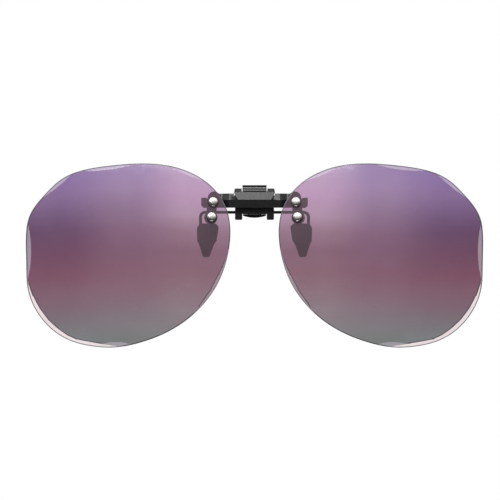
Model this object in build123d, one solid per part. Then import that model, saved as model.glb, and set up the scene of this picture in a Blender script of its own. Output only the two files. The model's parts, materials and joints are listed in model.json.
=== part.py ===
"""Clip-on flip-up lens pair: hinged lens carrier, spring clamp with wire claws and soft pads.

Millimetres. The origin is the clamping point: x = 0 on the middle plane, y = 0 between the
front and rear pads, z = 0 at the middle of the pads. +X is to the right seen from the front,
the wearer is at +Y, +Z is up. The right half is drawn and the left half is its mirror image.
"""
from build123d import *
import math
import os

os.makedirs("parts", exist_ok=True)

# Driving dimensions of the whole object
lens_width = 63.5
lens_height = 57.0
lens_thickness = 1.5
lens_radius = 140.0  # front surface of the lens
nose_edge_x = 7.5  # nearest point of each lens to the middle plane

# Lens mounting
upper_hole = (13.0, 11.0)
lower_hole = (13.45, 6.35)
rivet_shank_r = 0.6
bush_r = 1.1
hole_gap = 0.03  # all round between a sleeve or shank and its hole
plate_thickness = 1.0

# Flip hinge
flip_y, flip_z = -3.4, 14.4
flip_pin_r = 0.6
running_gap = 0.04  # all round between a turning pin and its bore
knuckle_r = 1.3
sweep_r = 1.62  # room kept round the knuckle
ear_in, ear_out, ear_r = 4.0, 6.2, 1.08
knuckle_half = 3.75

# Clamp: the front claw wire is also the axle of the clamp lever
wire_r = 0.45
claw_y, axle_z = 1.0, 8.06
claw_x, claw_bend_r, claw_low_z = 16.8, 1.5, -1.0
foot_in, foot_out, foot_low_z = 3.8, 6.05, 5.64
lever_half = 3.6
jaw_gap = 0.3
pad_thickness = 1.7

# Housing and bars
bar_low_z, bar_nose_z, bar_top_z = 9.4, 11.8, 13.8
bar_nose_y, bar_rear_y = -5.75, -3.95
block_top_z, block_nose_y = 14.26, -5.85
house_front_y, house_rear_y = -3.6, -2.2

# The lens is a shell between two balls round one centre
ball = Vector(30.0, 131.2, -4.5)
lens_rear_radius = lens_radius - lens_thickness
mount_x = (upper_hole[0] + lower_hole[0]) / 2
mount_z = (upper_hole[1] + lower_hole[1]) / 2

# Lens outline at its nominal size, as x, z points clockwise from the nose side
OUTLINE = [
    (7.5, 3.0), (8.8, 9.4), (13.0, 15.7), (18.6, 19.7), (26.5, 22.4), (34.8, 23.1),
    (44.2, 22.5), (53.4, 21.0), (59.6, 18.5), (65.4, 13.2), (70.0, 6.6), (71.0, 0.6),
    (70.9, -8.0), (70.4, -16.0), (68.2, -21.9), (64.2, -27.2), (58.0, -31.5),
    (50.6, -33.5), (43.5, -33.9), (35.5, -32.4), (26.4, -28.8), (17.6, -22.4),
    (11.0, -13.4), (8.2, -5.0),
]
# Ground facets: two ends on the outline and the deepest point between them
FRONT_FACETS = [
    ((36.0, 23.2), (45.4, 21.2), (54.2, 20.9)),
    ((56.4, 20.0), (61.6, 15.5), (66.4, 12.0)),
    ((70.6, 5.6), (69.4, -4.8), (70.7, -14.0)),
    ((14.4, 17.2), (20.4, 19.4), (27.4, 22.7)),
    ((37.6, -33.0), (44.0, -32.3), (50.0, -33.7)),
]
# Corners of the rear facets' inner borders; each two neighbours bound one facet
REAR_RUNS = [
    [
        (70.85, -10.0), (70.15, -14.5), (68.6, -18.6), (66.2, -22.8), (63.2, -26.4),
        (59.8, -29.2), (56.4, -31.2), (52.2, -32.5), (47.0, -33.1), (41.0, -33.4),
    ],
    [(8.3, -5.0), (10.25, -10.0), (13.1, -15.4), (17.4, -21.9)],
]


def sized(x, z):
    """Moves a nominal outline point to the driving lens width and height."""
    return (
        nose_edge_x + (x - 7.5) * lens_width / 63.5,
        mount_z + (z - mount_z) * lens_height / 57.0,
    )


def on_ball(x, z, radius):
    """Point of the ball surface nearest the viewer, straight behind a front view point."""
    reach = radius**2 - (x - ball.X) ** 2 - (z - ball.Z) ** 2
    return Vector(x, ball.Y - math.sqrt(reach), z)


def mount_plane():
    """Plane on the lens rear between the two rivets, its normal straight out of the lens."""
    foot = on_ball(mount_x, mount_z, lens_rear_radius)
    out = (foot - ball).normalized()
    across = (Vector(1, 0, 0) - out * out.X).normalized()
    return Plane(origin=foot, x_dir=across, z_dir=out)


def rivet_axes():
    """Upper and lower rivet axes; their z = 0 is at the lens rear."""
    plane = mount_plane()
    return [plane * Pos(x - mount_x, z - mount_z) for x, z in (upper_hole, lower_hole)]


def upright(low, high, radius):
    """Cylinder along local z from low to high."""
    return Pos(0, 0, (low + high) / 2) * Cylinder(radius, high - low)


def crossbar(half, radius, y, z):
    """Cylinder along x, from -half to half."""
    return Pos(0, y, z) * Rot(0, 90, 0) * Cylinder(radius, 2 * half)


def block(x0, x1, y0, y1, z0, z1):
    return Pos((x0 + x1) / 2, (y0 + y1) / 2, (z0 + z1) / 2) * Box(x1 - x0, y1 - y0, z1 - z0)


def side_profile(points, x0, x1):
    """Prism along x with the given y, z corners."""
    face = make_face(Polyline(*[(x0, y, z) for y, z in points], close=True))
    return extrude(face, amount=x1 - x0, dir=(1, 0, 0))


def front_profile(face_edges, y0, y1):
    """Prism along y with the given front view outline, drawn at y = 0."""
    return Pos(0, y0, 0) * extrude(make_face(face_edges), amount=y1 - y0, dir=(0, 1, 0))


def mirrored(part):
    return mirror(part, about=Plane.YZ)


def half_space(origin, out):
    """Block with one face through origin, reaching out along the direction out."""
    return Plane(origin=origin, z_dir=out) * Pos(0, 0, 10) * Box(60, 60, 20)


# ---- lenses ----


def lens_blank():
    curve = Spline(*[(x, 0, z) for x, z in (sized(*p) for p in OUTLINE)], periodic=True)
    return front_profile(curve, -30, 20)


def front_facet_cut(start, deep, end):
    a, b, c = [on_ball(*sized(*p), lens_radius) for p in (start, deep, end)]
    out = (b - a).cross(c - b).normalized()
    if out.Y > 0:
        out = -out
    return half_space(b, out)


def rear_facet_cut(start, end):
    a, b = [on_ball(*sized(*p), lens_rear_radius) for p in (start, end)]
    along = (b - a).normalized()
    middle = (a + b) * 0.5
    outward = (middle - Vector(38, middle.Y, -5)).normalized()
    outward = (outward - along * outward.dot(along)).normalized()
    return half_space(middle, (outward + Vector(0, 1.0, 0)).normalized())


def lens():
    shell = Pos(ball) * Sphere(lens_radius) - Pos(ball) * Sphere(lens_rear_radius)
    body = lens_blank() & shell
    for facet in FRONT_FACETS:
        body -= front_facet_cut(*facet)
    for run in REAR_RUNS:
        for start, end in zip(run, run[1:]):
            body -= rear_facet_cut(start, end)
    for axis in rivet_axes():
        body -= axis * upright(-3, 5, bush_r + hole_gap)
    return body


# ---- lens mounting hardware, one set per lens ----


def rivets():
    head = lens_thickness + 0.3
    tail = -plate_thickness - 0.3
    out = []
    for axis in rivet_axes():
        dome = upright(head, head + 0.85, 1.45)
        dome = fillet(dome.edges().group_by(Axis.Z)[-1], 0.7)
        button = upright(tail - 0.4, tail, 1.0)
        button = fillet(button.edges().group_by(Axis.Z)[0], 0.25)
        shank = upright(tail - 0.01, head + 0.01, rivet_shank_r)
        out.append(axis * (dome + button + shank))
    return Compound(children=[s for o in out for s in o.solids()])


def rings(low, high, outer, inner):
    ring = upright(low, high, outer) - upright(low - 1, high + 1, inner)
    return Compound(children=[s for axis in rivet_axes() for s in (axis * ring).solids()])


def front_washers():
    return rings(lens_thickness + 0.01, lens_thickness + 0.29, 1.6, rivet_shank_r + hole_gap)


def lens_bushes():
    return rings(-0.02, lens_thickness, bush_r, rivet_shank_r + hole_gap)


def rear_washers():
    tail = -plate_thickness - 0.3
    return rings(tail + 0.01, tail + 0.28, 1.35, rivet_shank_r + hole_gap)


# ---- lens carrier ----


def arm():
    """Half of the carrier bar, stepping back to pass behind the lens."""
    section = make_face(
        Polyline(
            (0, bar_nose_y, bar_low_z), (0, bar_nose_y, bar_nose_z),
            (0, bar_nose_y + 0.7, bar_top_z), (0, bar_rear_y, bar_top_z),
            (0, bar_rear_y, bar_low_z), close=True,
        )
    )
    path = Polyline((0, 0, 0), (6.9, 0, 0), (9.0, 0.8, 0), (11.3, 0.8, 0))
    return sweep(section, path=path, transition=Transition.RIGHT)


def mount_plate():
    """Waisted plate behind the lens, drilled for the two rivets, hollowed to fit the lens."""
    plane = mount_plane()

    def spot(x, z, radius):
        return plane * Pos(x - mount_x, z - mount_z) * upright(-plate_thickness, 0.6, radius)

    def band(start, end, half):
        angle = math.degrees(math.atan2(end[1] - start[1], end[0] - start[0]))
        middle = ((start[0] + end[0]) / 2 - mount_x, (start[1] + end[1]) / 2 - mount_z)
        size = (math.dist(start, end), 2 * half, plate_thickness + 0.6)
        rise = (0.6 - plate_thickness) / 2
        return plane * Pos(*middle, rise) * Rot(0, 0, angle) * Box(*size)

    top = (12.45, 12.55)
    plate = spot(*top, 1.93) + band(top, upper_hole, 1.55) + spot(*upper_hole, 1.5)
    plate += band(upper_hole, lower_hole, 1.5) + spot(*lower_hole, 2.02)
    plate += block(10.4, 12.6, -4.9, -4.2, bar_low_z, 13.4)
    return plate & (Pos(ball) * Sphere(lens_rear_radius - 0.03))


def carrier_bar():
    half = arm() + mount_plate()
    behind = [(8.3, 9.0), (11.0, 14.2), (15.0, 14.2), (15.0, 9.0)]
    relief = front_profile(Polyline(*[(x, 0, z) for x, z in behind], close=True), -9, -3)
    half -= relief - Pos(ball) * Sphere(lens_rear_radius - 0.03)
    for axis in rivet_axes():
        half -= axis * upright(-4, 4, rivet_shank_r + hole_gap)
        half -= axis * upright(-5, -plate_thickness, 1.6)
    bar = half + mirrored(half)
    corners = [(-5.6, bar_nose_z), (-7.15, bar_top_z + 1), (7.15, bar_top_z + 1), (5.6, bar_nose_z)]
    bar -= front_profile(Polyline(*[(x, 0, z) for x, z in corners], close=True), -8, -4.3)
    bar -= block(-ear_out - 0.15, ear_out + 0.15, -8, 0, 13.25, 16)
    bar -= block(-ear_in, ear_in, -8, 0, 12.6, 16)
    return bar - crossbar(ear_in, sweep_r, flip_y, flip_z)


def ear():
    """Right hand ear: a barrel round the pin with its outer rim rounded, and its web."""
    barrel = Pos((ear_in + ear_out) / 2) * crossbar((ear_out - ear_in) / 2, ear_r, flip_y, flip_z)
    barrel = fillet(barrel.edges().filter_by(GeomType.CIRCLE).sort_by(Axis.X)[-1], 0.45)
    front_y = block_nose_y + 0.75
    web = [(front_y, 13.35), (front_y, block_top_z), (flip_y - 0.5, 15.3), (flip_y, 13.4)]
    return barrel + side_profile(web, ear_in, ear_out - 0.5)


def hinge_block():
    """Trapezoid block seated in the carrier bar, with two ears round the flip pin."""
    low = bar_nose_z + 0.02
    outline = [(-5.2, low), (-6.5, block_top_z), (6.5, block_top_z), (5.2, low)]
    body = front_profile(Polyline(*[(x, 0, z) for x, z in outline], close=True), -8, -4.32)
    top_y = block_nose_y + 0.7
    side = [(block_nose_y, low), (top_y, block_top_z), (-4.32, block_top_z), (-4.32, low)]
    body &= side_profile(side, -8, 8)
    body -= crossbar(ear_in, sweep_r, flip_y, flip_z)
    half = ear()
    body += half + mirrored(half)
    body -= crossbar(8, flip_pin_r + hole_gap, flip_y, flip_z)
    return body - block(-2.82, 2.82, -5.22, -4, 12.8, 13.09)


def detent_leaf():
    """Leaf spring in the hinge block that rubs on the underside of the knuckle."""
    leaf = block(-2.8, 2.8, -5.2, -3.3, 12.82, 13.07)
    return leaf - crossbar(3, knuckle_r + 0.03, flip_y, flip_z)


def flip_pin():
    pin = crossbar(ear_out + 0.12, flip_pin_r, flip_y, flip_z)
    return chamfer(pin.edges().filter_by(GeomType.CIRCLE), 0.12)


# ---- clamp housing ----


def foot(x0, x1):
    """Cheek that holds the front claw wire."""
    lobe = Pos((x0 + x1) / 2, -claw_y, axle_z) * Rot(0, 90, 0) * Cylinder(1.2, x1 - x0)
    lobe += side_profile(
        [(house_front_y, foot_low_z), (-2.5, foot_low_z), (-1.7, 7.08), (-claw_y, 7.2),
         (-claw_y, axle_z + 1.2), (house_front_y, axle_z + 1.4)], x0, x1,
    )
    low = lobe.edges().filter_by(Axis.Y).filter_by(lambda e: e.center().Z < foot_low_z + 0.01)
    return fillet(low, 0.35)


def clamp_housing():
    body = block(-foot_out, foot_out, house_front_y, house_rear_y, 7.5, 12.5)
    body += foot(foot_in, foot_out) + foot(-foot_out, -foot_in)
    neck = [(-3.05, 12.3), (-3.05, flip_z), (-2.5, flip_z), (-2.5, 16.46), (-1.6, 16.46),
            (-1.6, 12.62), (house_rear_y, 12.5)]
    tab = side_profile(neck, -knuckle_half, knuckle_half)
    tab = chamfer(tab.edges().filter_by(Axis.X).group_by(Axis.Z)[-1], 0.15)
    tab += crossbar(knuckle_half, knuckle_r, flip_y, flip_z)
    body += tab
    body -= crossbar(8, flip_pin_r + running_gap, flip_y, flip_z)
    body -= crossbar(8, wire_r + hole_gap, -claw_y, axle_z)
    for x in (-4.9, 4.9):
        body -= Pos(x, -3, 11) * Rot(90, 0, 0) * Cylinder(0.5 + hole_gap, 4)
    return body


def stop_bar():
    """Strip across the back of the housing; its ends carry the rubber stops."""
    bar = block(-15.8, 15.8, house_rear_y + 0.02, -1.4, 9.6, 12.3)
    bar = fillet(bar.edges().filter_by(Axis.Y), 0.4)
    for x in (-4.9, 4.9):
        bar -= Pos(x, -2, 11) * Rot(90, 0, 0) * Cylinder(0.5 + hole_gap, 4)
    return bar


def bar_rivets():
    """Two rivets that hold the stop bar on the housing, set flush in front."""
    out = []
    for x in (-4.9, 4.9):
        shank = Pos(x, 0, 11) * Rot(90, 0, 0) * upright(1.39, -house_front_y - 0.02, 0.5)
        head = Pos(x, 0, 11) * Rot(90, 0, 0) * upright(1.03, 1.39, 0.95)
        head = fillet(head.edges().sort_by(Axis.Y)[-1], 0.2)
        out += (shank + head).solids()
    return Compound(children=out)


def rubber_stop():
    """Soft cap on the stop bar's end for the lens to rest on when it is down."""
    front_y = on_ball(14.85, 12.5, lens_rear_radius).Y + 0.35
    cap = block(14.85, 16.5, front_y, -1.1, 9.35, 12.5)
    lower = cap.edges().filter_by(Axis.Y).sort_by(lambda e: e.center().Z - e.center().X)[0]
    cap = chamfer(lower, 0.7)
    cap = fillet(cap.edges().group_by(Axis.Y)[0], 0.2)
    return cap - block(14, 15.82, house_rear_y, -1.38, 9.58, 12.32)


# ---- claws ----


def claw_wire(y, low_z):
    path = FilletPolyline(
        (-claw_x, y, low_z), (-claw_x, y, axle_z), (claw_x, y, axle_z), (claw_x, y, low_z),
        radius=claw_bend_r,
    )
    end = Plane(origin=(-claw_x, y, low_z), z_dir=(0, 0, 1)) * Circle(wire_r)
    return sweep(end, path=path)


def pad(outline, y0, y1, wire_y):
    """Soft pad moulded over the wire's end."""
    body = front_profile(Polyline(*[(x, 0, z) for x, z in outline], close=True), y0, y1)
    body = fillet(body.edges().filter_by(Axis.Y), 0.7)
    grip = min(abs(y0), abs(y1))
    body = fillet(body.edges().filter_by(lambda e: abs(abs(e.center().Y) - grip) > 0.9), 0.5)
    return body - Pos(claw_x, wire_y, 0) * upright(claw_low_z - 0.02, 8, wire_r + 0.02)


def front_pad():
    outline = [(11.1, 3.5), (12.1, 4.6), (16.9, 4.6), (17.9, 3.3), (17.8, -0.8), (16.7, -3.3),
               (13.5, -3.3), (11.8, -0.8)]
    return pad(outline, -jaw_gap / 2 - pad_thickness, -jaw_gap / 2, -claw_y)


def rear_pad():
    outline = [(11.6, 3.2), (12.4, 4.4), (16.9, 4.4), (17.8, 3.2), (17.5, -1.4), (16.7, -3.7),
               (16.1, -5.9), (14.0, -5.9), (13.4, -4.0), (12.1, -0.8)]
    return pad(outline, jaw_gap / 2, jaw_gap / 2 + pad_thickness, claw_y)


# ---- clamp lever ----


def clamp_lever():
    """Rear jaw: thumb plate above, rear claw wire through it, knuckle round the axle."""
    side = [(0.35, 6.2), (0.35, 9.6), (1.75, 14.6), (1.75, 16.3), (2.95, 16.3), (2.95, 14.2),
            (1.9, 9.9), (1.9, 6.2)]
    plate = side_profile(side, -lever_half, lever_half)
    sides = Polyline((lever_half, 0, 6.97), (lever_half, 0, 16.3), (-lever_half, 0, 16.3),
                     (-lever_half, 0, 6.97))
    lip = ThreePointArc((-lever_half, 0, 6.97), (0, 0, 6.35), (lever_half, 0, 6.97))
    plate &= front_profile([sides, lip], -1, 5)
    plate = fillet(plate.edges().filter_by(Axis.Y).group_by(Axis.Z)[-1], 0.6)
    hub = crossbar(1.85, 0.9, -claw_y, axle_z)
    hub += block(-1.85, 1.85, -claw_y, 0.6, axle_z - 0.9, axle_z + 0.9)
    plate += hub
    plate -= crossbar(8, wire_r + running_gap, -claw_y, axle_z)
    return plate - crossbar(8, wire_r + hole_gap, claw_y, axle_z)


def torsion_spring():
    """One wire: leg on the housing, coil round the axle, bail on the lever, and back again."""
    coil_r, spring_r, inner, outer, turns, steps = 0.76, 0.2, 2.12, 3.5, 3, 8
    top = axle_z + coil_r
    path = [(0, 0.2, 10.5), (1.5, 0.2, 10.5), (inner, 0.17, 10.0), (inner, 0.02, 9.2)]
    for step in range(turns * steps + 1):
        turn = math.radians(90 + step * 360 / steps)
        x = inner + (outer - inner) * step / (turns * steps)
        path.append((x, -claw_y + coil_r * math.cos(turn), axle_z + coil_r * math.sin(turn)))
    path += [(outer, -1.7, top + 0.14), (outer, -1.9, 9.5)]
    path = [(-x, y, z) for x, y, z in reversed(path[1:])] + path
    wire = Spline(*path)
    end = Plane(origin=wire @ 0, z_dir=wire % 0) * Circle(spring_r)
    return sweep(end, path=wire, is_frenet=True)


def save(name, shape):
    solids = shape.solids()
    out = solids[0] if len(solids) == 1 else Compound(children=list(solids))
    out.label = name
    export_step(out, f"parts/{name}.step")
    print(name, len(solids), round(sum(s.volume for s in solids), 2))


single = {
    "carrier_bar": carrier_bar, "hinge_block": hinge_block, "detent_leaf": detent_leaf,
    "flip_pin": flip_pin, "clamp_housing": clamp_housing, "stop_bar": stop_bar,
    "bar_rivets": bar_rivets, "clamp_lever": clamp_lever, "torsion_spring": torsion_spring,
}
paired = {
    "lens": lens, "lens_rivets": rivets, "front_washers": front_washers,
    "lens_bushes": lens_bushes, "rear_washers": rear_washers, "rubber_stop": rubber_stop,
    "front_pad": front_pad, "rear_pad": rear_pad,
}
for name, make in single.items():
    save(name, make())
for name, make in paired.items():
    right = make()
    save(f"right_{name}", right)
    save(f"left_{name}", mirrored(right))
save("front_claw_wire", claw_wire(-claw_y, claw_low_z))
save("rear_claw_wire", claw_wire(claw_y, claw_low_z))
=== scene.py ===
# %% [markdown]
# # Clip-on flip-up lenses
# A pair of tinted lenses hangs on a small hinged carrier. The carrier flips up from a spring
# clamp, and the clamp's wire claws hold it on a pair of spectacles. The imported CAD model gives
# every place and size; this script gives the pieces their finished shapes and surfaces.

# %% Load the frame
import json
import math

import bmesh
import bpy
import numpy as np
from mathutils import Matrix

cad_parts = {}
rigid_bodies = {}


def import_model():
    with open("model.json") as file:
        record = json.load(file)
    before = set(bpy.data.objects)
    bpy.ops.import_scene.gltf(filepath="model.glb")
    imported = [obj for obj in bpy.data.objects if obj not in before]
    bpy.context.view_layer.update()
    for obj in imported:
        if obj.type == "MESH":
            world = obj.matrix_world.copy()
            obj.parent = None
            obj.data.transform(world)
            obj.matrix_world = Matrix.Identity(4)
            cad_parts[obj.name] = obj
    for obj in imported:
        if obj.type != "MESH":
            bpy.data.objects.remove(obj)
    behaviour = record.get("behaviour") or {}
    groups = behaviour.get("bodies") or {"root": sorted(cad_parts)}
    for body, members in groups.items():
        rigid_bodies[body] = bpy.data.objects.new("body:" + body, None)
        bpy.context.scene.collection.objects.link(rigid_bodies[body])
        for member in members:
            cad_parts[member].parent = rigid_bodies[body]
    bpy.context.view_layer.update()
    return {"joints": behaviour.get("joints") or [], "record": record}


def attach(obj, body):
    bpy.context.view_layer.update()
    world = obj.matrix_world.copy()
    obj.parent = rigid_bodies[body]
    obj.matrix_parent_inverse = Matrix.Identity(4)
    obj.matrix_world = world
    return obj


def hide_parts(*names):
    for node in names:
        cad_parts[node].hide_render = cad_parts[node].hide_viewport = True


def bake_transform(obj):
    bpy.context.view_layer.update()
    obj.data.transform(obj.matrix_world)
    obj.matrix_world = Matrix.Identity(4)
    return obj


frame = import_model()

MM = 0.001
AXLES = {joint["name"]: np.array(joint["pos_m"]) / MM for joint in frame["joints"]}
FLIP_AXLE, JAW_AXLE = AXLES["lens_flip"], AXLES["jaw_open"]

# %% [markdown]
# ## Grids of points
# Every new piece is a grid of points: rows run along one parameter and columns go round the
# other. Four neighbours make a face. An open end is closed with a pole point and triangles, so
# the piece is watertight and could be cast or printed.

# %% From grid to faces


def closed_grid(grid, loop=False):
    """Points and faces of a grid whose columns close into a ring. Face corners are (i, j),
    (i + 1, j), (i + 1, j + 1), (i, j + 1). With loop the last row joins the first; without it
    the middle of each end row becomes a pole."""
    rows, cols = grid.shape[:2]
    i, j = np.meshgrid(np.arange(rows if loop else rows - 1), np.arange(cols), indexing="ij")
    here, further, beside = i * cols, (i + 1) % rows * cols, (j + 1) % cols
    quads = np.stack([here + j, further + j, further + beside, here + beside], axis=-1).reshape(-1, 4)
    points = grid.reshape(-1, 3)
    if loop:
        return points, [quads]
    ring, last = np.arange(cols), (rows - 1) * cols
    after = (ring + 1) % cols
    low = np.stack([np.full(cols, rows * cols), ring, after], axis=1)
    high = np.stack([np.full(cols, rows * cols + 1), last + after, last + ring], axis=1)
    return np.concatenate([points, grid[0].mean(0)[None], grid[-1].mean(0)[None]]), [quads, low, high]


# %% [markdown]
# ## From faces to a piece
# A piece is one object at the origin with its place in its mesh, as the CAD nodes are. Its
# signed volume tells which way the faces look: each face and the origin span a small pyramid,
# and their volumes add up to a negative number when the shell is inside out. The left-hand
# pieces are the right-hand ones with x turned round, so they need that turn back.

# %% Piece maker


def finish_piece(piece, body, nodes):
    """Puts a piece in the scene, turns its faces outwards, hides the CAD nodes it stands for and ties
    it to its body. A piece that crosses a joint gives (body, body, start, end) instead of one body; these values are
    not used, and such a piece is only set in place, on no body."""
    bpy.context.scene.collection.objects.link(piece)
    shell = bmesh.new()
    shell.from_mesh(piece.data)
    volume = shell.calc_volume(signed=True) / MM**3
    shell.free()
    if volume < 0:
        piece.data.flip_normals()
    if isinstance(body, str):
        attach(piece, body)
    else:
        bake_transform(piece)
    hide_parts(*nodes)
    print(f"{piece.name}: {len(piece.data.polygons)} faces, {abs(volume):.2f} cubic mm")


def make_piece(name, parts, finishes, body, nodes, sign=1, marks=None, crease=35):
    """One object from closed grids in millimetres. sign -1 makes the left-hand piece, marks gives
    each face's finish, and edges that turn more than crease degrees stay sharp."""
    mesh = bpy.data.meshes.new(name)
    points = np.concatenate([p for p, _ in parts]) * MM * [sign, 1, 1]
    starts = np.cumsum([0] + [len(p) for p, _ in parts])
    faces = [
        row for (_, blocks), start in zip(parts, starts) for block in blocks for row in (block + start).tolist()
    ]
    mesh.from_pydata(points.tolist(), [], faces)
    if marks is not None:
        mesh.polygons.foreach_set("material_index", marks.astype(np.int32))
    mesh.polygons.foreach_set("use_smooth", np.ones(len(faces), dtype=bool))
    for finish in finishes:
        mesh.materials.append(finish)
    mesh.update()
    mesh.set_sharp_from_angle(angle=math.radians(crease))
    finish_piece(bpy.data.objects.new(name, mesh), body, nodes)


SIDES = ((1, "right"), (-1, "left"))

# %% [markdown]
# ## Smooth lines
# Two kinds of line shape the pieces. A cubic spline runs through given points, as a bent wire
# or a freely drawn outline does. A polygon with rounded corners is what a cutter or a mould
# gives: straight runs joined by arcs.

# %% Spline and rounded polygon


def spline_through(knots, count, closed=False):
    """Cubic spline: solves for the second slopes m that make the first slopes join, then on each
    run y = a p0 + b p1 + ((a^3 - a) m0 + (b^3 - b) m1) h^2 / 6, with a = 1 - b."""
    n = len(knots)
    after = np.roll(knots, -1, axis=0)
    h = np.linalg.norm(after - knots, axis=1)
    before = np.roll(h, 1)
    k = np.arange(n)
    matrix = np.zeros((n, n))
    matrix[k, k] = 2 * (h + before)
    matrix[k, (k + 1) % n] += h
    matrix[k, (k - 1) % n] += before
    slope = (after - knots) / h[:, None]
    right = 6 * (slope - np.roll(slope, 1, axis=0))
    if not closed:
        matrix[[0, -1]] = 0
        matrix[0, 0] = matrix[-1, -1] = 1
        right[[0, -1]] = 0
    m = np.linalg.solve(matrix, right)
    ends = np.concatenate([[0], np.cumsum(h if closed else h[:-1])])
    t = np.linspace(0, ends[-1], count, endpoint=not closed)
    run = np.clip(np.searchsorted(ends, t, side="right") - 1, 0, len(ends) - 2)
    b = ((t - ends[run]) / h[run])[:, None]
    a, hh = 1 - b, (h[run] ** 2)[:, None] / 6
    bend = (a**3 - a) * m[run] + (b**3 - b) * np.roll(m, -1, axis=0)[run]
    return a * knots[run] + b * after[run] + bend * hh


def rounded_polygon(corners, radius, count):
    """Each corner becomes an arc that starts r tan(turn / 2) before it: start + r (sin f d +
    (1 - cos f) s n), with d the heading, n its left normal and s the side it turns to. The
    ring is then walked in even steps."""
    ahead = np.roll(corners, -1, axis=0) - corners
    ahead /= np.linalg.norm(ahead, axis=1, keepdims=True)
    come = np.roll(ahead, 1, axis=0)
    turn = np.arctan2(come[:, 0] * ahead[:, 1] - come[:, 1] * ahead[:, 0], (come * ahead).sum(1))
    start = corners - come * (radius * np.tan(np.abs(turn) / 2))[:, None]
    f = np.abs(turn)[:, None] * np.linspace(0, 1, 12)
    left = np.stack([-come[:, 1], come[:, 0]], axis=1) * np.sign(turn)[:, None]
    forward, sideways = np.sin(f)[..., None] * come[:, None], (1 - np.cos(f))[..., None] * left[:, None]
    arcs = start[:, None] + radius * (forward + sideways)
    ring = arcs.reshape(-1, 2)
    ring = np.concatenate([ring, ring[:1]])
    walked = np.concatenate([[0], np.cumsum(np.linalg.norm(np.diff(ring, axis=0), axis=1))])
    t = np.linspace(0, walked[-1], count, endpoint=False)
    return np.stack([np.interp(t, walked, ring[:, 0]), np.interp(t, walked, ring[:, 1])], axis=1)


# %% [markdown]
# ## Nodes and colours
# Colours are written as the hex codes of a paint chart and turned to linear light once. One
# small function adds a node, fills its sockets and makes its links.

# %% Material tools


def tint(code):
    """sRGB hex code to linear: c / 12.92 below 0.04045, ((c + 0.055) / 1.055) ** 2.4 above."""
    c = np.array([int(code[i : i + 2], 16) for i in (1, 3, 5)]) / 255
    linear = np.where(c <= 0.04045, c / 12.92, ((c + 0.055) / 1.055) ** 2.4)
    return (*linear.tolist(), 1.0)


def add(tree, kind, settings=None, **sockets):
    """Adds a node. A socket is named, or numbered as i0, i1; an output given to it is linked."""
    node = tree.nodes.new("ShaderNode" + kind)
    for key, value in (settings or {}).items():
        setattr(node, key, value)
    for key, value in sockets.items():
        numbered = key[0] == "i" and key[1:].isdigit()
        socket = node.inputs[int(key[1:]) if numbered else key.replace("_", " ")]
        if isinstance(value, bpy.types.NodeSocket):
            tree.links.new(value, socket)
        else:
            socket.default_value = value
    return node


def ramp(tree, source, stops):
    """Colour ramp with (place, colour) stops; a number stands for a grey."""
    node = add(tree, "ValToRGB", Fac=source)
    elements = node.color_ramp.elements
    for i, (place, colour) in enumerate(stops):
        element = elements[i] if i < 2 else elements.new(place)
        element.position = place
        element.color = tint(colour) if isinstance(colour, str) else (colour,) * 3 + (1,)
    return node.outputs["Color"]


def new_material(name, **sockets):
    """Material with one Principled shader; the plain values go straight on its sockets."""
    material = bpy.data.materials.new(name)
    material.use_nodes = True
    tree = material.node_tree
    shader = tree.nodes["Principled BSDF"]
    for key, value in sockets.items():
        shader.inputs[key.replace("_", " ")].default_value = value
    place = add(tree, "TexCoord").outputs["Object"]
    return material, tree, shader, place


def per_mm(size):
    """Noise scale for a pattern whose grains are size millimetres across."""
    return 1 / (size * MM)


def surface(tree, shader, colour, gloss, height, depth, strength):
    """Links a finish: its colour, its roughness and a bump of depth millimetres."""
    tree.links.new(colour, shader.inputs["Base Color"])
    tree.links.new(gloss, shader.inputs["Roughness"])
    bump = add(tree, "Bump", Strength=strength, Distance=depth * MM, Height=height)
    tree.links.new(bump.outputs["Normal"], shader.inputs["Normal"])


def span(tree, value, low, high, start=0.3, end=0.7):
    """A noise value from start to end spread over low to high."""
    node = add(tree, "MapRange", Value=value, From_Min=start, From_Max=end, To_Min=low, To_Max=high)
    return node.outputs[0]


# %% [markdown]
# ## Black enamel
# The bars, housing, block and lever are small zinc castings with a baked electro-dipped
# enamel. The coat is nearly black itself and half glossy: a face turned up to the light goes
# grey with what it mirrors, and an upright one stays near black. Cast skin shows through as a
# fine peel, tumbling leaves hair scratches, and handling leaves slow changes of gloss. The
# claw wires are steel with a thinner coat of the same, blacker and smoother.

# %% Black finishes


def black_finish(name, dark, light, gloss):
    material, tree, shader, place = new_material(name, Specular_IOR_Level=0.29)
    cloud = add(tree, "TexNoise", Vector=place, Scale=per_mm(2.0), Detail=3.0).outputs["Fac"]
    peel = add(tree, "TexNoise", Vector=place, Scale=per_mm(0.22), Detail=4.0).outputs["Fac"]
    stretch = add(tree, "Mapping", Vector=place, Rotation=(0.3, 0.2, 0.5), Scale=(0.12, 1, 1)).outputs[0]
    hair = add(tree, "TexNoise", Vector=stretch, Scale=per_mm(0.1), Detail=5.0).outputs["Fac"]
    scratch = span(tree, hair, 0.0, 1.0, 0.62, 0.72)
    tone = ramp(tree, cloud, [(0.3, dark), (0.72, light)])
    wear = span(tree, hair, 0.0, 0.3, 0.62, 0.72)
    worn = add(tree, "Mix", {"data_type": "RGBA"}, i0=wear, i6=tone, i7=tint("#4a4848"))
    gloss = span(tree, peel, gloss - 0.06, gloss + 0.08)
    rough = add(tree, "Math", {"operation": "MULTIPLY_ADD"}, i0=scratch, i1=-0.08, i2=gloss).outputs[0]
    surface(tree, shader, worn.outputs[2], rough, peel, 0.02, 0.3)
    return material


black_enamel = black_finish("black_enamelled_zinc", "#09090a", "#111113", 0.3)
wire_enamel = black_finish("black_enamelled_wire", "#08080a", "#0f0f11", 0.34)
print("black finishes:", black_enamel.name, wire_enamel.name)

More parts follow.
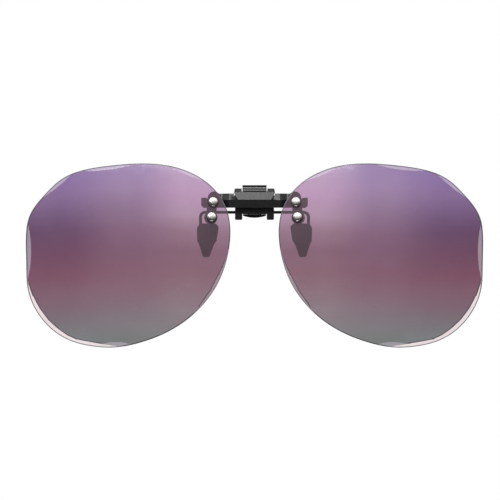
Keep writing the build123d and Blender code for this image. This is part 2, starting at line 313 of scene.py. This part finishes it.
# %% [markdown]
# ## Bright metal
# The rivets are nickel-plated brass, tumbled bright: nearly a mirror, with hair-fine rubbing
# marks. The spring, pin and leaf are drawn steel, whose marks run along the wire.

# %% Bright metals


def bright_metal(name, dark, light, gloss, mark, stretch):
    material, tree, shader, place = new_material(name, Metallic=1.0)
    along = add(tree, "Mapping", Vector=place, Scale=stretch).outputs[0]
    marks = add(tree, "TexNoise", Vector=along, Scale=per_mm(mark), Detail=5.0).outputs["Fac"]
    cloud = add(tree, "TexNoise", Vector=place, Scale=per_mm(1.2), Detail=2.0).outputs["Fac"]
    tone = ramp(tree, cloud, [(0.3, dark), (0.7, light)])
    surface(tree, shader, tone, span(tree, marks, gloss * 0.7, gloss * 1.5), marks, 0.01, 0.15)
    return material


nickel = bright_metal("bright_nickel_plate", "#dcdad5", "#f0eee9", 0.2, 0.12, (1, 1, 1))
spring_steel = bright_metal("drawn_spring_steel", "#8c8b88", "#b3b1ad", 0.3, 0.1, (0.15, 1, 1))
print("bright metals:", nickel.name, spring_steel.name)

# %% [markdown]
# ## Nylon and silicone
# Washers and sleeves are moulded black nylon with a dry, slightly grained face. The pads and
# stops are soft black silicone: matt, a little milky where light grazes them, and always with
# some dust.

# %% Soft and moulded blacks


def moulded(name, dark, light, gloss, grain, sheen=0.0):
    material, tree, shader, place = new_material(name, Sheen_Weight=sheen, Sheen_Roughness=0.4)
    cloud = add(tree, "TexNoise", Vector=place, Scale=per_mm(1.2), Detail=3.0).outputs["Fac"]
    grains = add(tree, "TexNoise", Vector=place, Scale=per_mm(grain), Detail=3.0).outputs["Fac"]
    tone = ramp(tree, cloud, [(0.3, dark), (0.7, light)])
    speck = span(tree, grains, 0.0, 0.2, 0.6, 0.75)
    dusty = add(tree, "Mix", {"data_type": "RGBA"}, i0=speck, i6=tone, i7=tint("#77727a"))
    surface(tree, shader, dusty.outputs[2], span(tree, cloud, gloss - 0.07, gloss + 0.07), grains, 0.03, 0.35)
    return material


nylon = moulded("moulded_black_nylon", "#121213", "#1d1d1e", 0.5, 0.2)
silicone = moulded("black_silicone", "#2f2c31", "#423e44", 0.55, 0.15, 0.3)
print("soft blacks:", nylon.name, silicone.name)

# %% [markdown]
# ## The lens outline
# Each lens is cut from a thin spherical shell. Its outline is one closed smooth curve through a
# few points, the same curve as the CAD model's: the spline's parameter is the length of the
# straight runs between the points.

# %% Outline curve
OUTLINE = np.array([
    (7.5, 3.0), (8.8, 9.4), (13.0, 15.7), (18.6, 19.7), (26.5, 22.4), (34.8, 23.1),
    (44.2, 22.5), (53.4, 21.0), (59.6, 18.5), (65.4, 13.2), (70.0, 6.6), (71.0, 0.6),
    (70.9, -8.0), (70.4, -16.0), (68.2, -21.9), (64.2, -27.2), (58.0, -31.5),
    (50.6, -33.5), (43.5, -33.9), (35.5, -32.4), (26.4, -28.8), (17.6, -22.4),
    (11.0, -13.4), (8.2, -5.0),
])
rim = spline_through(OUTLINE, 540, closed=True)
print("lens outline", np.ptp(rim, axis=0).round(2), "mm")

# %% [markdown]
# ## Balls and facet planes
# The front and the back of the shell lie on two balls round one centre. Flat facets are ground
# on parts of the edge: each front facet is a plane through three points of the front ball, and
# each rear facet a plane that leans 45 degrees outwards through two points of the rear ball.
# The rear facets follow each other in two runs, one below the temple and one by the nose.

# %% Lens surfaces
BALL = np.array([30.0, 131.2, -4.5])
FRONT_R, THICKNESS = 140.0, 1.5
REAR_R = FRONT_R - THICKNESS
CENTRE = np.array([38.0, -5.0])
FRONT_FACETS = np.array([
    ((36.0, 23.2), (45.4, 21.2), (54.2, 20.9)),
    ((56.4, 20.0), (61.6, 15.5), (66.4, 12.0)),
    ((70.6, 5.6), (69.4, -4.8), (70.7, -14.0)),
    ((14.4, 17.2), (20.4, 19.4), (27.4, 22.7)),
    ((37.6, -33.0), (44.0, -32.3), (50.0, -33.7)),
])
TEMPLE_RUN = [
    (70.85, -10.0), (70.15, -14.5), (68.6, -18.6), (66.2, -22.8), (63.2, -26.4), (59.8, -29.2),
    (56.4, -31.2), (52.2, -32.5), (47.0, -33.1), (41.0, -33.4),
]
NOSE_RUN = [(8.3, -5.0), (10.25, -10.0), (13.1, -15.4), (17.4, -21.9)]
REAR_FACETS = np.array([pair for run in (TEMPLE_RUN, NOSE_RUN) for pair in zip(run, run[1:])])


def on_ball(xz, radius):
    """Point (x, y, z) of the ball nearest the viewer: y = ball y - sqrt(r^2 - dx^2 - dz^2)."""
    d = xz - BALL[[0, 2]]
    y = BALL[1] - np.sqrt(radius**2 - (d**2).sum(-1))
    return np.stack([xz[..., 0], y, xz[..., 1]], axis=-1)


def plane_depth(xz, point, out):
    """y of a plane at x, z: y = py - ((x - px) nx + (z - pz) nz) / ny."""
    across = (xz[..., 0] - point[0]) * out[0] + (xz[..., 1] - point[2]) * out[2]
    return point[1] - across / out[1]


def facet_planes():
    """(point, normal) of each front and each rear facet."""
    a, b, c = on_ball(FRONT_FACETS, FRONT_R).transpose(1, 0, 2)
    front = list(zip(b, np.cross(b - a, c - b)))
    a, b = on_ball(REAR_FACETS, REAR_R).transpose(1, 0, 2)
    along = (b - a) / np.linalg.norm(b - a, axis=1, keepdims=True)
    middle = (a + b) / 2
    out = (middle - [CENTRE[0], 0, CENTRE[1]]) * [1, 0, 1]
    out -= along * (out * along).sum(1, keepdims=True)
    out /= np.linalg.norm(out, axis=1, keepdims=True)
    return front, list(zip(middle, out + [0, 1, 0]))


front_planes, rear_planes = facet_planes()


def front_depth(xz):
    """y of the front and how far the deepest facet plane lies behind the ball there."""
    cut = np.max([plane_depth(xz, p, n) for p, n in front_planes], axis=0)
    ball = on_ball(xz, FRONT_R)[..., 1]
    return np.maximum(ball, cut), cut - ball


def rear_depth(xz):
    """y of the back and how far the nearest facet plane lies before the rear ball there."""
    cut = np.min([plane_depth(xz, p, n) for p, n in rear_planes], axis=0)
    ball = on_ball(xz, REAR_R)[..., 1]
    return np.minimum(ball, cut), ball - cut


print("facets:", len(front_planes), "front,", len(rear_planes), "rear")

# %% [markdown]
# ## The lens grid
# The grid runs from the middle of the lens to the rim, down the edge and back. Two of its
# rings lie exactly on the inner borders of the front and the rear facets, so those stay crisp.
# A narrow ring beside a border carries a painted dark line: painted shade where refraction darkens a clear ground
# edge.

# %% Lens grid
# LINE is the width of the painted shade line, as a share of the way out.
LINE = 0.3 / np.linalg.norm(rim - CENTRE, axis=1)


def facet_border(depth):
    """For each way out from the middle, the share of the way at which a facet starts, or 1."""
    share = np.linspace(0.85, 1.0, 900)
    cut = depth(CENTRE + share[:, None, None] * (rim - CENTRE))[1]
    return np.where((cut > 0).any(axis=0), share[np.argmax(cut > 0, axis=0)], 1.0)


edge = 1 - LINE
front_start = np.minimum(facet_border(front_depth), edge - 0.002)
rear_start = np.minimum(facet_border(rear_depth), edge - 0.002)
near, far = np.minimum(front_start, rear_start) - 0.002, np.maximum(front_start, rear_start)
BODY_RINGS = 38
share = np.concatenate([
    np.linspace(0.03, 1.0, BODY_RINGS)[:, None] ** 0.8 * (near - LINE),
    near[None],
    near + np.linspace(0, 1, 6)[1:, None] * (far - near),
    far + np.linspace(0, 1, 6)[1:, None] * (edge - far),
])
spots = CENTRE + share[..., None] * (rim - CENTRE)
front_sheet = np.stack([spots[..., 0], front_depth(spots)[0], spots[..., 1]], axis=-1)
rear_sheet = np.stack([spots[..., 0], rear_depth(spots)[0], spots[..., 1]], axis=-1)
wall_front = np.stack([rim[:, 0], front_depth(rim)[0] + 0.1, rim[:, 1]], axis=-1)
wall_depth = np.maximum(rear_depth(rim)[0] - 0.1, wall_front[:, 1] + 0.02)
wall_rear = np.stack([rim[:, 0], wall_depth, rim[:, 1]], axis=-1)
lens_grid = np.concatenate([front_sheet, wall_front[None], wall_rear[None], rear_sheet[::-1]])
print("lens grid", lens_grid.shape)

# %% [markdown]
# ## Which face is what
# Each face is tinted front, ground facet, painted shade line (an opaque dark grey band where refraction darkens a
# clear edge), clear knife edge (where the rear facet has taken the dyed layer away) or plain back. It is told by
# where its middle lies.

# %% Face marks
TINTED, GROUND, PAINTED_SHADE_LINE, CLEAR, BACK = range(5)


def sheet_marks(plain, with_line):
    """Marks for the rows of one side, from the middle outwards, one fewer than its rings."""
    middle = (spots[:-1] + spots[1:]) / 2
    middle = (middle + np.roll(middle, -1, axis=1)) / 2
    marks = np.full(middle.shape[:2], plain)
    if with_line:
        marks[front_depth(middle)[1] > 0] = GROUND
        # Painted shade: an opaque dark grey line on the front, beside the border of a rear facet.
        marks[BODY_RINGS - 1][(rear_start < edge - 0.003) & (rear_start <= front_start)] = PAINTED_SHADE_LINE
    marks[rear_depth(middle)[1] > 0] = CLEAR
    return marks


# Painted shade: the rim wall is opaque dark grey where no rear facet cuts it.
rim_marks = np.where(rear_depth(rim)[1] > 0, GROUND, PAINTED_SHADE_LINE)[None]
lens_marks = np.concatenate([
    sheet_marks(TINTED, True), rim_marks, rim_marks, rim_marks, sheet_marks(BACK, False)[::-1],
])
poles = np.repeat([TINTED, BACK], len(rim))
print("faces of each kind", np.bincount(lens_marks.ravel()))

# %% [markdown]
# ## The dye
# The polycarbonate is dip-dyed and mirror coated: violet above, plum in the middle, wine red
# below and smoke grey at the foot, paler towards the nose. Three ramps over the height, for
# the nose side, the middle and the temple side, are blended by the distance from the nose.
# A slow wave keeps the dye line from being ruler straight.

# %% Dye ramps
DYE = {
    "nose": [
        (0.1, "#8b918f"), (0.21, "#948b91"), (0.31, "#937a84"), (0.41, "#8e6877"), (0.52, "#886377"),
        (0.62, "#9d7d92"), (0.7, "#bc9fbb"), (0.82, "#cca9d1"), (0.95, "#cfb6dc"),
    ],
    "middle": [
        (0.03, "#788a82"), (0.1, "#838a8b"), (0.21, "#887a83"), (0.31, "#8b6978"), (0.41, "#855b6e"),
        (0.52, "#7d5773"), (0.62, "#825e7f"), (0.72, "#907498"), (0.85, "#a38bb9"), (0.97, "#a18dc5"),
    ],
    "temple": [
        (0.03, "#829393"), (0.1, "#7b8485"), (0.21, "#806b76"), (0.28, "#826070"), (0.38, "#7a465e"),
        (0.5, "#643057"), (0.62, "#532b5e"), (0.72, "#684c81"), (0.83, "#8469a2"), (0.93, "#886fb7"),
    ],
}


def dye(tree, place):
    """Dye colour at a place: the three ramps over z, blended where |x| is 20 to 38 and 38 to 60 mm."""
    parts = add(tree, "SeparateXYZ", Vector=place)
    wave = add(tree, "TexNoise", Vector=place, Scale=per_mm(30), Detail=0.0).outputs["Fac"]
    sway = add(tree, "Math", {"operation": "MULTIPLY_ADD"}, i0=wave, i1=0.003, i2=parts.outputs["Z"])
    level = add(tree, "MapRange", Value=sway.outputs[0], From_Min=-0.0325, From_Max=0.0255).outputs[0]
    reach = add(tree, "Math", {"operation": "ABSOLUTE"}, i0=parts.outputs["X"]).outputs[0]
    colour = ramp(tree, level, DYE["nose"])
    for name, start, end in (("middle", 0.02, 0.038), ("temple", 0.038, 0.06)):
        share = add(tree, "MapRange", {"interpolation_type": "SMOOTHSTEP"}, Value=reach, From_Min=start, From_Max=end)
        side = ramp(tree, level, DYE[name])
        colour = add(tree, "Mix", {"data_type": "RGBA"}, i0=share.outputs[0], i6=colour, i7=side).outputs[2]
    return colour


# %% [markdown]
# ## See-through finishes
# Light that passes the lens takes the dye's colour, and a small share of it is scattered or
# mirrored by the coat. So each lens finish mixes a coloured Transparent shader with a
# Principled one. Smears and hair-fine rubs, which every worn lens has, change the share and
# the gloss a little.

# %% Lens finishes


def see_through(name, solid, base, gloss, pass_colour, mark):
    """Mix of passed and returned light; solid is the share the surface itself returns."""
    material, tree, shader, place = new_material(name, IOR=1.58, Coat_Weight=0.3, Coat_Roughness=0.05)
    smear = add(tree, "TexNoise", Vector=place, Scale=per_mm(9), Detail=3.0).outputs["Fac"]
    rubs = add(tree, "TexNoise", Vector=place, Scale=per_mm(mark), Detail=6.0).outputs["Fac"]
    tone = ramp(tree, smear, [(0.3, base[0]), (0.7, base[1])])
    surface(tree, shader, tone, span(tree, rubs, gloss, gloss + 0.08), rubs, 0.002, 0.05)
    veil = add(tree, "BsdfTransparent", Color=pass_colour(tree, place))
    share = span(tree, smear, solid * 0.97, solid * 1.03)
    mix = add(tree, "MixShader", Fac=share, i1=veil.outputs[0], i2=shader.outputs[0])
    tree.links.new(mix.outputs[0], tree.nodes["Material Output"].inputs["Surface"])
    return material


def pale_dye(tree, place):
    """The dye where grinding has thinned it: part of the way to clear."""
    return add(tree, "Mix", {"data_type": "RGBA"}, i0=0.34, i6=dye(tree, place), i7=tint("#f2ecf4")).outputs[2]


def clear_plastic(tree, place):
    """Undyed polycarbonate, with a faint rosy cast that comes and goes."""
    cast = add(tree, "TexNoise", Vector=place, Scale=per_mm(6), Detail=2.0).outputs["Fac"]
    return ramp(tree, cast, [(0.3, "#fdf7f7"), (0.7, "#f8f0f1")])


def cleared_dye(tree, place):
    """Rear facets: clear plastic, but towards the nose the cut is shallow and leaves some dye."""
    reach = add(tree, "Math", {"operation": "ABSOLUTE"}, i0=add(tree, "SeparateXYZ", Vector=place).outputs["X"])
    share = add(tree, "MapRange", Value=reach.outputs[0], From_Min=0.018, From_Max=0.03).outputs[0]
    clear = clear_plastic(tree, place)
    return add(tree, "Mix", {"data_type": "RGBA"}, i0=share, i6=tint("#cdbfc6"), i7=clear).outputs[2]


tinted_coat = see_through("mirror_coated_polycarbonate", 0.3, ("#846d7a", "#8a7380"), 0.08, dye, 3.0)
ground_facet = see_through("ground_polycarbonate", 0.38, ("#958c99", "#9f96a3"), 0.22, pale_dye, 0.4)
clear_edge = see_through("clear_polycarbonate", 0.1, ("#b9aeb0", "#c4babb"), 0.12, cleared_dye, 0.6)
rear_coat = see_through("hard_coated_back", 0.05, ("#7a717c", "#847b86"), 0.06, clear_plastic, 3.0)
# Painted shade: an opaque dark grey finish on the rim wall and the thin line by a rear facet's border, in place of
# the shade that refraction gives a clear edge.
painted_shade_edge = moulded("painted_shade_lens_edge", "#45404a", "#575159", 0.4, 0.3)
print("lens finishes made")

# %% [markdown]
# ## The two lenses
# One grid and one list of marks make both lenses; the left one is turned round in x. Edges that
# turn by more than 5 degrees stay sharp, so the ground facets keep their crisp borders.

# %% Lens pieces
shell = closed_grid(lens_grid)
for sign, side in SIDES:
    make_piece(
        side + "_lens_shell", [shell],
        [tinted_coat, ground_facet, painted_shade_edge, clear_edge, rear_coat], "lens_carrier",
        [side + "_lens"], sign, np.concatenate([lens_marks.ravel(), poles]), crease=5,
    )

# %% [markdown]
# ## Turned pieces
# Rivets, washers and pins come off a lathe: one profile of radius and height, spun about an
# axis. The rivet axes stand square on the back of the lens, half way between its two holes.

# %% Lathe


def turned(profile, seat, axis, around=56, loop=False):
    """Point = seat + h axis + r (cos t side + sin t (side x axis)) for each (r, h) of the profile."""
    profile = np.asarray(profile, dtype=float)
    axis = np.asarray(axis, dtype=float) / np.linalg.norm(axis)
    side = np.cross(axis, np.eye(3)[np.argmin(np.abs(axis))])
    side /= np.linalg.norm(side)
    t = np.linspace(0, 2 * np.pi, around, endpoint=False)[:, None]
    ring = np.cos(t) * side + np.sin(t) * np.cross(side, axis)
    grid = np.asarray(seat) + profile[:, 1, None, None] * axis + profile[:, 0, None, None] * ring
    return closed_grid(grid, loop)


def dome(radius, low, high, rows=14):
    """Quarter of a squared-off ellipse: r = R cos(t)^0.7, h = low + (high - low) sin(t)^0.9."""
    t = np.linspace(0, np.pi / 2 - 0.03, rows)
    return np.stack([radius * np.cos(t) ** 0.7, low + (high - low) * np.sin(t) ** 0.9], axis=1)


UPPER_HOLE, LOWER_HOLE = np.array([13.0, 11.0]), np.array([13.45, 6.35])
half_way = (UPPER_HOLE + LOWER_HOLE) / 2
seat = on_ball(half_way, REAR_R)
out = (seat - BALL) / np.linalg.norm(seat - BALL)
across = np.array([1.0, 0, 0]) - out * out[0]
across /= np.linalg.norm(across)
upward = np.cross(out, across)
seats = [seat + (hole - half_way) @ np.stack([across, upward]) for hole in (UPPER_HOLE, LOWER_HOLE)]
print("rivets lean", round(math.degrees(math.asin(out[2])), 2), "degrees up")

# %% [markdown]
# ## Rivets and washers
# Each lens hangs on two tubular rivets. The head in front is a low dome, the tail behind is
# rolled over and keeps a small dimple. A black washer wider than the head lies under it, a
# steel one under the tail.

# %% Rivets and washers
TAIL = [
    (0.05, -1.5), (0.28, -1.52), (0.42, -1.6), (0.56, -1.69), (0.7, -1.7), (0.85, -1.66), (0.95, -1.57),
    (1.0, -1.45), (0.98, -1.35), (0.9, -1.3), (0.6, -1.295), (0.6, -1.2), (0.6, 1.7), (0.6, 1.8),
    (1.3, 1.8), (1.38, 1.81), (1.43, 1.85),
]
rivet = np.concatenate([TAIL, dome(1.45, 1.92, 2.65)])
front_ring = [
    (0.63, 1.51), (1.53, 1.51), (1.58, 1.53), (1.6, 1.57), (1.6, 1.73), (1.58, 1.77), (1.53, 1.79), (0.63, 1.79),
]
rear_ring = [
    (0.63, -1.29), (1.3, -1.29), (1.34, -1.27), (1.35, -1.23), (1.35, -1.08), (1.34, -1.04), (1.3, -1.02),
    (0.63, -1.02),
]
for sign, side in SIDES:
    make_piece(
        side + "_domed_rivets", [turned(rivet, s, out) for s in seats], [nickel], "lens_carrier",
        [side + "_lens_rivets"], sign,
    )
    for name, ring, finish, slot in (
        ("front_washer", front_ring, nylon, "black_nylon"), ("rear_washer", rear_ring, spring_steel, "spring_steel"),
    ):
        make_piece(
            f"{side}_{name}_pair", [turned(ring, s, out, loop=True) for s in seats], [finish], "lens_carrier",
            [f"{side}_{name}s"], sign,
        )

# %% [markdown]
# ## Pin and bar rivets
# The flip pin is drawn steel with peened, slightly swollen ends. The stop bar's two rivets
# are set flush in front and have low button heads behind.

# %% Pin and bar rivets
end = dome(0.6, 6.2, 6.32, 6)
pin = np.concatenate([end[::-1] * [1, -1], end])
make_piece(
    "peened_flip_pin", [turned(pin, FLIP_AXLE, (1, 0, 0))], [spring_steel], "lens_carrier",
    ["flip_pin"],
)
button = [(0.05, -3.58), (0.4, -3.58), (0.47, -3.56), (0.5, -3.52), (0.5, -1.39), (0.9, -1.39), (0.94, -1.35)]
button = np.concatenate([button, dome(0.95, -1.3, -1.03, 8)])
make_piece(
    "stop_bar_rivets", [turned(button, (x, 0, 11), (0, 1, 0), 40) for x in (-4.9, 4.9)], [black_enamel],
    "clamp_body", ["bar_rivets"],
)

# %% [markdown]
# ## Bent wire
# A wire is a small circle carried along a path. At each point of the path the circle needs
# two directions across the heading. They come from one fixed direction that the heading
# never meets, so the wire doesn't twist. Each claw wire is a U whose ends go down into pads.

# %% Wire and claws


def bent_wire(path, radius, fixed, around=16):
    """Point = p + r (cos t u + sin t (u x d)), with d the heading and u the fixed direction
    less its share along d."""
    heading = np.gradient(path, axis=0)
    heading /= np.linalg.norm(heading, axis=1, keepdims=True)
    u = fixed - heading * (heading @ np.asarray(fixed, dtype=float))[:, None]
    u /= np.linalg.norm(u, axis=1, keepdims=True)
    v = np.cross(u, heading)
    t = np.linspace(0, 2 * np.pi, around, endpoint=False)[:, None]
    return closed_grid(path[:, None] + radius * (np.cos(t) * u[:, None] + np.sin(t) * v[:, None]))


LEG_X, BEND_R = 16.8, 1.5


def claw_path(y):
    """U in an upright plane: legs at x = LEG_X, the run along x at the height of the jaw's axle,
    and a bend of radius BEND_R between them: centre + BEND_R (sin f, cos f)."""
    top = JAW_AXLE[2]
    f = np.linspace(0, np.pi / 2, 17)
    bend = np.stack([LEG_X - BEND_R + BEND_R * np.sin(f), top - BEND_R + BEND_R * np.cos(f)], axis=1)
    leg = np.stack([np.full(9, LEG_X), np.linspace(top - BEND_R, -1.0, 10)[1:]], axis=1)
    half = np.concatenate([[(0.0, top), (8.0, top)], bend, leg])
    line = np.concatenate([half[:0:-1] * [-1, 1], half])
    return np.stack([line[:, 0], np.full(len(line), y), line[:, 1]], axis=1)


for name, y, body in (("front_claw", -1.0, "clamp_body"), ("rear_claw", 1.0, "rear_jaw")):
    make_piece(
        name + "_bent_wire", [bent_wire(claw_path(y), 0.45, (0, 1, 0))], [wire_enamel], body,
        [name + "_wire"],
    )

# %% [markdown]
# ## Torsion spring
# One wire makes the whole spring: a leg on the housing, three turns round the axle, a bail
# over the lever, and the same back again. On the real clip the bail goes with the lever when the jaw opens,
# while the coils stay on the axle; here the piece is set in place and follows neither body.

# %% Torsion spring
COIL_R, COIL_START, COIL_WIDTH = 0.76, 2.12, 1.38
step = np.arange(25)
turn = np.radians(90 + step * 45.0)
coil = np.stack([
    COIL_START + COIL_WIDTH * step / step[-1], JAW_AXLE[1] + COIL_R * np.cos(turn),
    JAW_AXLE[2] + COIL_R * np.sin(turn),
], axis=1)
arm = [(0, 0.2, 10.5), (1.5, 0.2, 10.5), (2.12, 0.17, 10.0), (2.12, 0.02, 9.2)]
half = np.concatenate([arm, coil, [(3.5, -1.7, 8.96), (3.5, -1.9, 9.5)]])
knots = np.concatenate([half[:0:-1] * [-1, 1, 1], half])
ACROSS_JAW = ("clamp_body", "rear_jaw", (0, -0.001, 0.0088), (0, 0.0002, 0.0102))
make_piece(
    "wound_spring", [bent_wire(spline_through(knots, 800), 0.2, (1, 1, 1), 12)], [spring_steel],
    ACROSS_JAW, ["torsion_spring"],
)

# %% [markdown]
# ## Soft pads
# A pad is moulded silicone with a well rounded back and a flatter gripping face. Rings of its
# outline, drawn in by a set distance along the outline's own normal, follow a rounded edge;
# inside the last ring the face closes to the middle with a slight crown.

# %% Pads


def soft_slab(outline, front_y, rear_y, front_edge, rear_edge, crown=0.1):
    """Rings: front face y = front + crown s^2, a quarter round of front_edge, a quarter round of
    rear_edge, and the rear face y = rear - crown s^2, with s the share of the way out."""
    ahead = np.roll(outline, -1, axis=0) - np.roll(outline, 1, axis=0)
    ahead /= np.linalg.norm(ahead, axis=1, keepdims=True)
    inward = np.stack([ahead[:, 1], -ahead[:, 0]], axis=1)
    middle = outline.mean(0)
    inward *= np.sign((inward * (middle - outline)).sum())
    f = np.linspace(0, np.pi / 2, 9)
    s = np.linspace(0.08, 1, 12)[:-1]
    inset = np.concatenate([
        np.full(len(s), front_edge), front_edge * (1 - np.sin(f)), rear_edge * (1 - np.cos(f)),
        np.full(len(s), rear_edge),
    ])
    share = np.concatenate([s, np.ones(2 * len(f)), s[::-1]])
    y = np.concatenate([
        front_y + crown * s**2, front_y + crown + front_edge * (1 - np.cos(f)),
        rear_y - crown - rear_edge * (1 - np.sin(f)), rear_y - crown * s[::-1] ** 2,
    ])
    ring = outline + inset[:, None, None] * inward
    ring = middle + share[:, None, None] * (ring - middle)
    return closed_grid(np.stack([ring[..., 0], np.broadcast_to(y[:, None], ring.shape[:2]), ring[..., 1]], axis=-1))


FRONT_PAD = np.array([
    (11.1, 3.5), (12.1, 4.6), (16.9, 4.6), (17.9, 3.3), (17.8, -0.8), (16.7, -3.3), (13.5, -3.3), (11.8, -0.8),
])
REAR_PAD = np.array([
    (11.6, 3.2), (12.4, 4.4), (16.9, 4.4), (17.8, 3.2), (17.5, -1.4), (16.7, -3.7), (16.1, -5.9),
    (14.0, -5.9), (13.4, -4.0), (12.1, -0.8),
])
for sign, side in SIDES:
    for name, outline, ys, edges, body in (
        ("front_pad", FRONT_PAD, (-1.85, -0.15), (0.6, 0.2), "clamp_body"),
        ("rear_pad", REAR_PAD, (0.15, 1.85), (0.2, 0.6), "rear_jaw"),
    ):
        make_piece(
            f"{side}_soft_{name}", [soft_slab(rounded_polygon(outline, 0.7, 160), *ys, *edges)], [silicone],
            body, [f"{side}_{name}"], sign,
        )

# %% [markdown]
# ## Rolled edges on the castings
# A casting has no knife edges: tumbling rolls them. A copy of each CAD piece has its loose
# corners merged and its flat faces joined, then a Bevel modifier rounds every edge that
# turns by more than 13 degrees: the shallow facets of the block turn by 19, while the small
# flats that make up a barrel turn by less than 10 and stay smooth. A Weighted Normal modifier
# then lets the large faces set the shading, so they look flat between their rolled edges. The
# carrier bar is milled after casting: its edges stay sharp, and its thin corners have no room
# for a round.

# %% Castings


def rolled(node, finish, body, width, turn=13):
    """Finished copy of a CAD node; edges that turn by more than turn degrees are rolled to
    width millimetres, or stay sharp where the width is 0."""
    source = bpy.data.objects[node]
    mesh = source.data.copy()
    mesh.transform(source.matrix_world)
    shape = bmesh.new()
    shape.from_mesh(mesh)
    bmesh.ops.remove_doubles(shape, verts=shape.verts, dist=5e-7)
    bmesh.ops.dissolve_limit(shape, angle_limit=math.radians(0.5), verts=shape.verts, edges=shape.edges)
    shape.to_mesh(mesh)
    shape.free()
    mesh.materials.clear()
    mesh.materials.append(finish)
    mesh.polygons.foreach_set("use_smooth", np.ones(len(mesh.polygons), dtype=bool))
    piece = bpy.data.objects.new(node + "_rolled", mesh)
    if width:
        bevel = piece.modifiers.new("rolled_edges", "BEVEL")
        bevel.width, bevel.segments = width * MM, 3
        bevel.limit_method, bevel.angle_limit = "ANGLE", math.radians(turn)
        bevel.use_clamp_overlap = False
    else:
        mesh.set_sharp_from_angle(angle=math.radians(turn))
    flat = piece.modifiers.new("flat_faces", "WEIGHTED_NORMAL")
    flat.weight, flat.keep_sharp = 100, not width
    finish_piece(piece, body, [node])


bpy.context.view_layer.update()
for node, body, width in (
    ("carrier_bar", "lens_carrier", 0), ("hinge_block", "lens_carrier", 0.06),
    ("clamp_housing", "clamp_body", 0.05), ("stop_bar", "clamp_body", 0.05),
    ("clamp_lever", "rear_jaw", 0.07),
):
    rolled(node, black_enamel, body, width)
for side in ("right", "left"):
    rolled(side + "_rubber_stop", silicone, "clamp_body", 0.12)

# %% [markdown]
# ## Finishes on the CAD pieces
# The sleeves in the lens holes and the detent leaf are right as they are, so they keep their
# CAD meshes and take the finish that belongs to them. Pieces that are replaced get theirs
# too, so that nothing is left bare.

# %% Finishes
FINISH = {
    "black_frame": black_enamel, "bright_rivet": nickel, "spring_steel": spring_steel,
    "black_nylon": nylon, "pad_rubber": silicone, "lens": tinted_coat,
}
for part in frame["record"]["subparts"]:
    for place in bpy.data.objects[part["node"]].material_slots:
        place.material = FINISH[part["material_slot"]]

# %% [markdown]
# ## Studio floor and light
# A white floor well below, soft lights and a white surround. What the pieces mirror is darker
# at eye level than overhead, as in a light tent with its front open, so upright faces stay
# dark and faces turned up catch the light.

# %% Floor
SPOKES, FLOOR_Z = 96, -700.0
t = np.linspace(0, 2 * np.pi, SPOKES, endpoint=False)
radii = np.array([1.0, 100.0, 200.0, 300.0])[:, None]
disc = np.stack([radii * np.cos(t), radii * np.sin(t), np.full((len(radii), SPOKES), FLOOR_Z)], axis=-1)
sheet = bpy.data.meshes.new("floor")
flat, (rings, *_) = closed_grid(disc)
sheet.from_pydata((flat[: disc.size // 3] * MM).tolist(), [], rings[:, ::-1].tolist() + [list(range(SPOKES))])
floor = bpy.data.objects.new("floor", sheet)
bpy.context.scene.collection.objects.link(floor)
paper, tree, shader, place = new_material("white_paper")
fibre = add(tree, "TexNoise", Vector=place, Scale=per_mm(1.0), Detail=3.0).outputs["Fac"]
white = ramp(tree, fibre, [(0.3, "#fcfcfc"), (0.7, "#ffffff")])
surface(tree, shader, white, span(tree, fibre, 0.85, 0.95), fibre, 0.05, 0.1)
sheet.materials.append(paper)

# %% [markdown]
# ## Surround and lamps
# The camera sees plain white behind the object. Everything else sees the tent, whose
# brightness depends only on the height of the direction. Two square lamps stand for softboxes.

# %% Lights and surround
world = bpy.data.worlds.new("studio")
bpy.context.scene.world = world
world.use_nodes = True
tree = world.node_tree
backdrop = tree.nodes["Background"]
backdrop.inputs["Color"].default_value = (1, 1, 1, 1)
rise = add(tree, "SeparateXYZ", Vector=add(tree, "TexCoord").outputs["Generated"]).outputs["Z"]
height = add(tree, "MapRange", Value=rise, From_Min=-1.0, From_Max=1.0).outputs[0]
tent = ramp(tree, height, [(0.0, 0.03), (0.42, 0.07), (0.5, 0.22), (0.56, 0.28), (0.72, 1.0)])
glow = add(tree, "Background", Color=tent, Strength=1.25)
path = add(tree, "LightPath")
mix = add(tree, "MixShader", Fac=path.outputs["Is Camera Ray"], i1=glow.outputs[0], i2=backdrop.outputs[0])
tree.links.new(mix.outputs[0], tree.nodes["World Output"].inputs["Surface"])


def softbox(name, place, size, power):
    """Square area light of that size in metres, turned towards the origin."""
    light = bpy.data.lights.new(name, "AREA")
    light.size, light.energy = size, power
    lamp = bpy.data.objects.new(name, light)
    x, y, z = place
    lamp.location = place
    lamp.rotation_euler = (math.atan2(math.hypot(x, y), z), 0, math.atan2(-x, y) + math.pi)
    bpy.context.scene.collection.objects.link(lamp)


softbox("key", (-0.12, -0.55, 0.5), 0.45, 6.0)
softbox("back", (0.0, 0.5, 0.45), 0.5, 3.0)

# %% [markdown]
# ## Camera
# A long lens straight in front, level with the middle of the lenses. Focal length is sensor
# width times distance over the width to be seen, 155 mm here.

# %% Camera
SENSOR, DISTANCE, FIELD = 36, 0.9, 0.155
view = bpy.data.cameras.new("camera")
view.sensor_width = SENSOR
view.lens = SENSOR * DISTANCE / FIELD
camera = bpy.data.objects.new("camera", view)
camera.location = (-0.0014, -DISTANCE - 0.004, -0.0037)
camera.rotation_euler = (math.pi / 2, 0, 0)
bpy.context.scene.collection.objects.link(camera)
bpy.context.scene.camera = camera
bpy.context.scene.view_settings.view_transform = "Standard"
